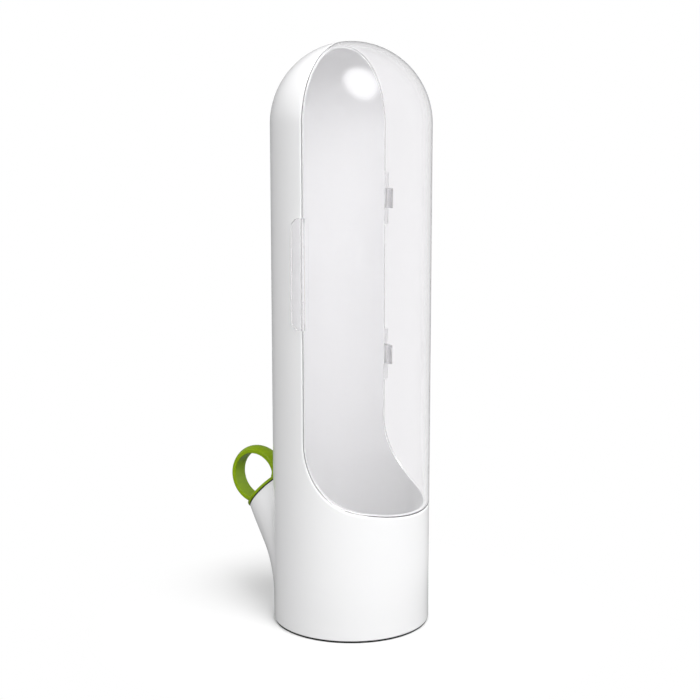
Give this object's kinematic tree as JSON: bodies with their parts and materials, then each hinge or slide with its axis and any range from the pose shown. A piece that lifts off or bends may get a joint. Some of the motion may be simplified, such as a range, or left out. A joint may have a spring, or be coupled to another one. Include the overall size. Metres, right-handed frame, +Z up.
{
  "type": "vegetable storage pod",
  "caption": "Upright capsule keeper for fresh greens: white shell with a hinged clear front door, a water reservoir in its foot and a side filling spout closed by a ring-pull stopper.",
  "frame": {"origin": "on the capsule's axis, on the underside of the foot pad, which is the surface that the pod stands on", "axes": "+Z up along the capsule's axis, -Y towards the clear front door, +Y towards the filling spout, +X towards the door's hinge"},
  "size_m": [0.0752, 0.1, 0.256],
  "materials": {
    "white_plastic": "smooth glossy moulded white",
    "clear_plastic": "clear, polished",
    "green_plastic": "semi-gloss moulded lime green",
    "dark_rubber": "matte dark grey elastomer",
    "pin_steel": "drawn stainless wire"
  },
  "bodies": {
    "housing": {"body_shell": "white_plastic", "bottom_cap": "white_plastic", "bottom_seal": "dark_rubber", "foot_pad": "dark_rubber", "upper_hinge_pin": "pin_steel", "lower_hinge_pin": "pin_steel"},
    "door": {"front_door": "clear_plastic"},
    "stopper": {"spout_stopper": "green_plastic", "stopper_washer": "dark_rubber"}
  },
  "joints": [
    {"name": "door_hinge", "type": "hinge", "parent": "housing", "child": "door", "pos_m": [0.03592, 0.0045, 0.152], "axis": [0, 0, 1], "range_deg": [0, 120]},
    {"name": "stopper_pull", "type": "slide", "parent": "housing", "child": "stopper", "axis": [0, 0.7431, 0.6691], "range_m": [0, 0.04]}
  ]
}
